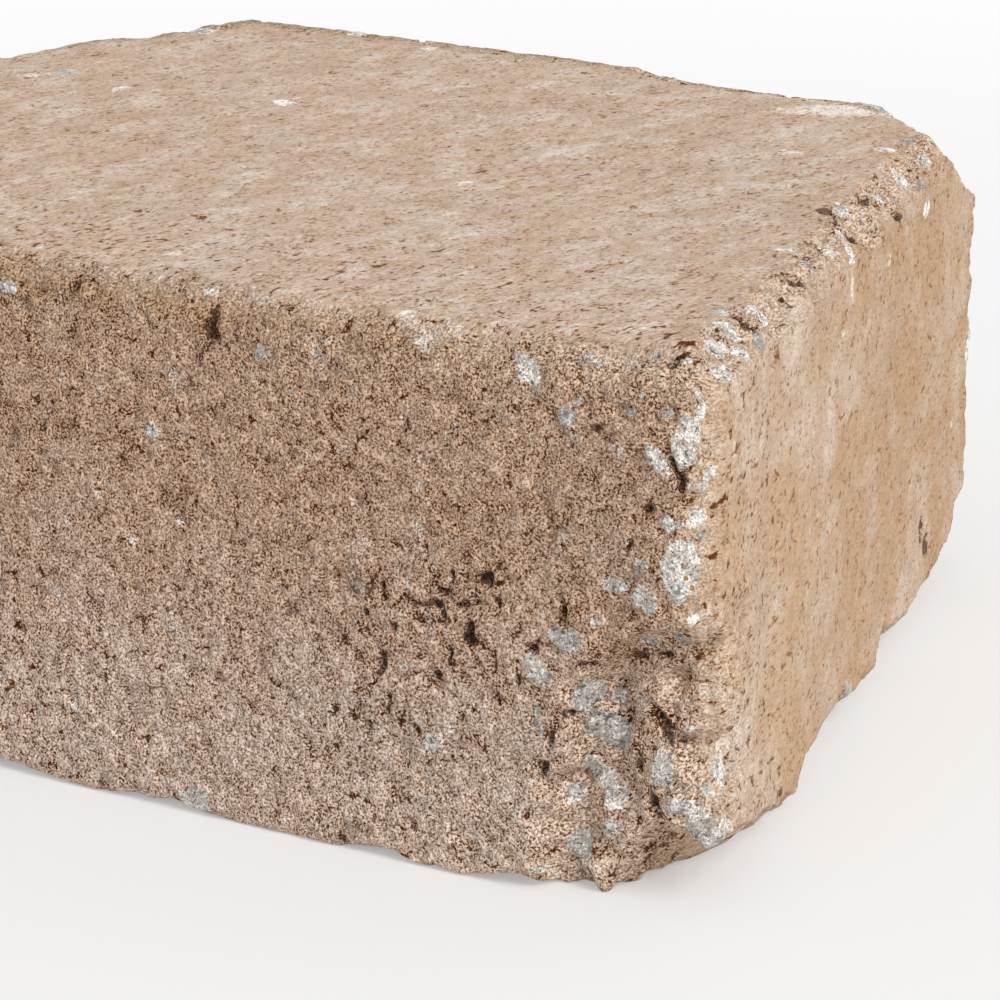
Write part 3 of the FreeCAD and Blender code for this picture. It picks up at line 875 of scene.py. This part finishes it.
def drawn_out(f, parts):
    """Coordinates whose way back is the lesser of the true one and about half of it."""
    behind = f.math("SUBTRACT", parts["Y"], FACE_Y)
    slower = f.add(f.times(behind, DRAWN_OUT), DRAWN_SHIFT)
    slower = f.math("MINIMUM", behind, slower)
    return f.node("CombineXYZ", {0: parts["X"], 1: slower, 2: parts["Z"]}).outputs[0]


def dry_tan(f, parts, front, side, top, arris):
    """The slow changes of colour: by the side of the block, and in clouds."""
    wide, middling, grey = f.mark("clouds_30"), f.mark("clouds_20"), f.mark("clouds_28")
    far_back = f.step(f.add(parts["Y"], f.times(wide, 8)), WARM_FROM, WARM_TO)
    colour = f.mix(far_back, TAN, TAN_BACK)
    colour = f.mix(front, colour, TAN_FACE)
    foot = f.step(f.add(parts["Z"], f.times(middling, 4.5)), FOOT_TOP, FOOT_FULL)
    low_front = f.math("MAXIMUM", front, f.times(arris, f.without(side)))
    colour = f.mix(f.times(foot, low_front, 0.85), colour, TAN_LOW)
    limed_top = f.mix(f.step(f.noise(8, 4, 0.66), 0.42, 0.60, 0, 0.55), TAN_TOP, PALE)
    worn = f.add(f.noise(4, 4, 0.70), f.times(wide, 0.014), f.times(arris, 0.06))
    colour = f.mix(top, colour, f.mix(f.step(worn, 0.47, 0.62, 0, 0.9), limed_top, TAN_WORN))
    colour = f.mix(f.step(grey, 0, 2.5, 0, 0.25), colour, GREY_TAN)
    return f.mix(f.step(middling, 0, -2.5, 0, 0.35), colour, RUST_TAN)


def mould_streaks(f, side):
    """How much the pale streaks cover a side: long bands and rounder dabs, half of each."""
    leaning = f.stretch(f.at, (1, 1, 1), (math.radians(-12), 0, 0))
    bands = f.noise(1, 2, 0.4, at=f.stretch(leaning, (0.075, 0.075, 0.014)))
    dabs = f.noise(1, 3, 0.55, at=f.stretch(leaning, (0.07, 0.07, 0.10)))
    streaks = f.add(f.times(bands, 0.5), f.times(dabs, 0.5))
    return f.times(f.step(streaks, 0.42, 0.62), side, f.step(f.mark("clouds_28"), 1.5, -1.2, 0.2, 0.5))


def limed(f, colour, side):
    """Lays the pale things over a colour: the mould's streaks, powder and the placed smears."""
    bloom = f.step(f.add(f.mark("smear"), f.swing(1.4, 0.30, 3, 0.7)), 0.30, 0.75)
    powder = f.times(f.step(f.noise(6, 4, 0.72), 0.575, 0.68, 0, 0.5), f.without(f.times(side, 0.5)))
    colour = f.mix(mould_streaks(f, side), colour, PALE)
    colour = f.mix(powder, colour, PALE)
    return f.mix(f.times(bloom, 0.8), colour, LIME)


# %% [markdown]
# Sand gives the concrete its light and dark. Real shadows between grains of half a millimetre
# would need millions of faces, so the noise is darkened where it is low, as painted shadow, and
# lightened where it is highest, as painted highlights, and low places turn browner as they darken.
# Coarser grains leave bigger gaps, at the places farthest from the middle of any grain, and
# these are painted darker too. How open the surface is sets how strong all of this shows.

# %% The sand
FACE_SAND = 0.40  # mm, the size of the sand's light and dark on the open face
FLAT_SAND = 0.70  # the same on the top and the sides
GRAVEL_GAP = 1.6  # mm, the size of the coarser grains whose gaps are the bigger pits
NEAR_FROM, NEAR_TO = -35, -100  # y between which the flats' pits grow stronger to the face
SHADE_TINT = (0.66, 1, 1.36)  # how much red, green and blue follow a shadow
# The patches are painted light and shade of the concrete's slow relief
SHADE_PATCH_SIZE = 2.8  # mm, the size of the lighter and darker patches
# Below 1 the light is painted shadow between the grains, and above 1 it is painted highlight on them
SAND_LIGHT = [  # a level of the sand noise, and how much light is left there
    (0.28, 0.04), (0.35, 0.12), (0.40, 0.36), (0.44, 0.74), (0.48, 0.98), (0.58, 1.12),
    (0.66, 1.28), (0.75, 1.5),
]


def sanded(f, colour, parts, top, openness, fine):
    """A colour times light ** strength, where light is read off the sand's level, and painted patches
    of shade.
    """
    closed = f.without(openness)
    nearby = f.times(f.step(parts["Y"], NEAR_FROM, NEAR_TO), closed)
    small_clouds = f.mark("clouds_6")
    upright = f.noise(FLAT_SAND, 2, 0.6, f.stretch(f.at, (1, 0.6, 1)))
    flat = f.mix(top, upright, f.noise(FLAT_SAND, 2, 0.6))
    apart, _ = f.grains(GRAVEL_GAP)
    apart = f.add(apart, f.swing(0.7, 0.12, 2), f.times(small_clouds, 0.032), f.times(nearby, 0.07))
    gap = f.step(apart, 0.76, 0.96)
    # Around each cleft the sand is darkened a little, as painted shade at the hole's rim
    shade_by_cleft = f.step(f.mark("cleft"), -1.3, -0.1, 0, -0.07)
    level = f.add(f.mix(openness, flat, fine), f.swing(1.8, 0.13, 3), f.times(small_clouds, 0.022))
    level = f.add(level, shade_by_cleft, f.times(gap, -0.23), f.times(closed, 0.025), 0.035)
    light = f.curve(level, SAND_LIGHT)
    strength = f.add(0.30, f.times(openness, 0.68), f.times(top, 0.13), f.times(nearby, 0.32))
    channels = [f.math("POWER", light, f.times(strength, share)) for share in SHADE_TINT]
    shade = f.node("CombineColor", dict(enumerate(channels))).outputs[0]
    colour = f.mix(1.0, colour, shade, "MULTIPLY")
    # Lighter and darker patches: painted shade of the slow relief, strongest where the surface is open
    shade_patches = f.times(f.swing(SHADE_PATCH_SIZE, 0.30, 4, 0.7), f.add(0.4, f.times(openness, 0.6)))
    return f.mix(1.0, colour, f.add(1, shade_patches), "MULTIPLY")


# %% [markdown]
# The gravel is granite: white and grey feldspar with flecks of black mica and, in one stone,
# orange grains. Stones could be pieces of their own, but they are flush with the concrete
# and share its wear, so they are places in the finish. A film of tan cement still covers a
# part of each stone, most at its rim.

# %% The granite in it
STONE_DARK = (0.34, 0.325, 0.29, 1)
STONE_WHITE = (0.93, 0.88, 0.81, 1)
MICA = (0.08, 0.08, 0.078, 1)
ORANGE_GRAIN = (0.62, 0.25, 0.07, 1)
CRYSTAL = 0.7  # mm, the size of the feldspar's crystals


def granite(f, tone):
    """The colour of bare stone for a tone."""
    colour = f.mix(f.step(tone, -0.1, 1.0), STONE_DARK, STONE_WHITE)
    _, crystal = f.grains(CRYSTAL)
    lightness = f.node("SeparateColor", {0: crystal}).outputs[0]
    cloud = f.swing(2.2, 0.55, 3, 0.65)
    colour = f.mix(1.0, colour, f.add(f.step(lightness, 0, 1, 0.82, 1.20), cloud), "MULTIPLY")
    mica = f.step(f.add(f.noise(0.8, 3, 0.65), f.swing(2.5, 0.05, 2)), 0.57, 0.62)
    colour = f.mix(f.times(mica, 0.8), colour, MICA)
    orange = f.times(f.step(f.noise(2.2, 1, 0.5), 0.60, 0.64), f.step(tone, 1.5, 1.9))
    return f.mix(orange, colour, ORANGE_GRAIN)


# %% [markdown]
# The finish lays these on one another: the granite and the holes are read first, on true
# coordinates. Then come the dry concrete, its brown arrises and breaks, the lime and the
# sand with its painted shade, and at last the stones and the holes' painted shade are laid
# over it. Bump adds only the sand's relief, which is too small for the mesh.

# %% The finish
def concrete_finish():
    """The look of the whole block, from its colours down to the relief of its sand."""
    f = Finish("tan_concrete")
    front, side, top = f.mark("on_front"), f.mark("on_side"), f.mark("on_top")
    arris, broken, tone = f.mark("at_arris"), f.mark("broken"), f.mark("tone")
    in_stone = f.step(f.add(f.mark("stone"), f.swing(1.3, 0.75, 3, 0.7)), 0.0, 0.35)
    bare = f.times(in_stone, f.step(tone, -0.9, 0.0))
    # The dark of the holes is painted shade, laid over the depth carved into the skin
    hole_shade = f.step(f.add(f.mark("cleft"), f.swing(1.2, 0.6, 3, 0.7)), 0.0, 0.25)
    granite_colour = granite(f, tone)

    parts = f.node("SeparateXYZ", {0: f.at}).outputs
    f.at = drawn_out(f, parts)
    colour = dry_tan(f, parts, front, side, top, arris)
    browned = f.step(f.add(arris, f.times(f.mark("clouds_9"), 0.1)), 0.35, 0.95)
    browned = f.times(browned, f.without(side))
    above_foot = f.step(parts["Z"], 6, 36, 0.1, 1)
    colour = f.mix(f.times(browned, f.add(f.times(front, 0.35), 0.35), above_foot), colour, BROWN)
    colour = f.mix(f.times(broken, 0.7), colour, BROKEN_TAN)
    colour = limed(f, colour, side)

    openness = f.math("MAXIMUM", front, f.math("MAXIMUM", broken, f.times(browned, 0.7)))
    openness = f.math("MINIMUM", openness, f.without(f.times(side, 0.5)))
    fine = f.add(f.times(f.noise(FACE_SAND, 2, 0.70), 1.1), -0.05)
    colour = sanded(f, colour, parts, top, openness, fine)

    film = f.add(f.noise(1.8, 4, 0.75), f.step(f.mark("stone"), 0.8, 0.0, 0, 0.07))
    colour = f.mix(f.times(bare, f.step(film, 0.65, 0.54, 0.15, 1.0)), colour, granite_colour)
    colour = f.mix(f.times(hole_shade, 0.8), colour, HOLE_SHADE)

    f.set("Base Color", colour)
    f.set("Roughness", 0.92)
    f.set("Specular IOR Level", 0.25)
    height = f.times(f.step(fine, 0.30, 0.52), f.add(0.12, f.times(openness, 0.34)))
    height = f.add(height, f.times(f.swing(1.8, 0.34, 2), f.add(0.5, openness)))
    f.relief(height)
    print("the finish has", len(f.tree.nodes), "nodes")
    return f.material


block.data.materials.append(concrete_finish())

# %% [markdown]
# The block lies on white paper in a soft light from the right, so its face is the darker
# side. Area lamps could give it, but a wide sun and an even world need no stands, and no
# view shows them. For the camera, and for reflections, the paper turns to plain white away
# from the block, and the world behind it is white too.

# %% Floor and light
FLOOR_REACH = 4000.0
FADE = (230.0, 900.0)  # mm from the middle, where the paper starts and ends its turn to white
PAPER = (0.88, 0.88, 0.88, 1)
WHITE = (1, 1, 1, 1)
WORLD_STRENGTH = 0.66
KEY_STRENGTH = 1.65
KEY_FROM = Vector((0.75, -0.28, 0.65))
KEY_SPREAD = math.radians(30)

floor_corners = np.array([[-1, -1, 0], [1, -1, 0], [1, 1, 0], [-1, 1, 0]]) * FLOOR_REACH
floor = mesh_object("floor", floor_corners, np.array([[0, 1, 2, 3]]))


def seen_directly(f):
    """1 for rays from the camera and for mirrored or passed-on rays, 0 for the rest."""
    path = f.tree.nodes.new("ShaderNodeLightPath")
    seen = f.math("MAXIMUM", path.outputs["Is Camera Ray"], path.outputs["Is Glossy Ray"])
    return f.math("MAXIMUM", seen, path.outputs["Is Transmission Ray"])


def paper_finish():
    f = Finish("white_paper")
    f.set("Base Color", PAPER)
    f.set("Roughness", 1.0)
    glow = f.node("Emission", {"Color": WHITE, "Strength": 1.0})
    away = f.node("VectorMath", {0: f.at}, operation="LENGTH").outputs["Value"]
    share = f.math("MULTIPLY", f.step(away, *FADE, 0.35, 1.0), seen_directly(f))
    blend = f.node("MixShader", {0: share, 1: f.shader.outputs[0], 2: glow.outputs[0]})
    f.tree.links.new(blend.outputs[0], f.tree.nodes["Material Output"].inputs["Surface"])
    return f.material


floor.data.materials.append(paper_finish())

world = bpy.data.worlds.new("studio")
world.use_nodes = True
bpy.context.scene.world = world
sky = world.node_tree
path = sky.nodes.new("ShaderNodeLightPath")
level = sky.nodes.new("ShaderNodeMapRange")
level.inputs["To Min"].default_value = WORLD_STRENGTH
level.inputs["To Max"].default_value = 1.0
sky.links.new(path.outputs["Is Camera Ray"], level.inputs["Value"])
sky.nodes["Background"].inputs["Color"].default_value = WHITE
sky.links.new(level.outputs["Result"], sky.nodes["Background"].inputs["Strength"])

key_data = bpy.data.lights.new("key", "SUN")
key_data.energy = KEY_STRENGTH
key_data.angle = KEY_SPREAD
key = bpy.data.objects.new("key", key_data)
bpy.context.collection.objects.link(key)
key.rotation_euler = KEY_FROM.to_track_quat("Z", "Y").to_euler()

bpy.context.scene.view_settings.view_transform = "Standard"
print("light: a world of", WORLD_STRENGTH, "and a sun of", KEY_STRENGTH)
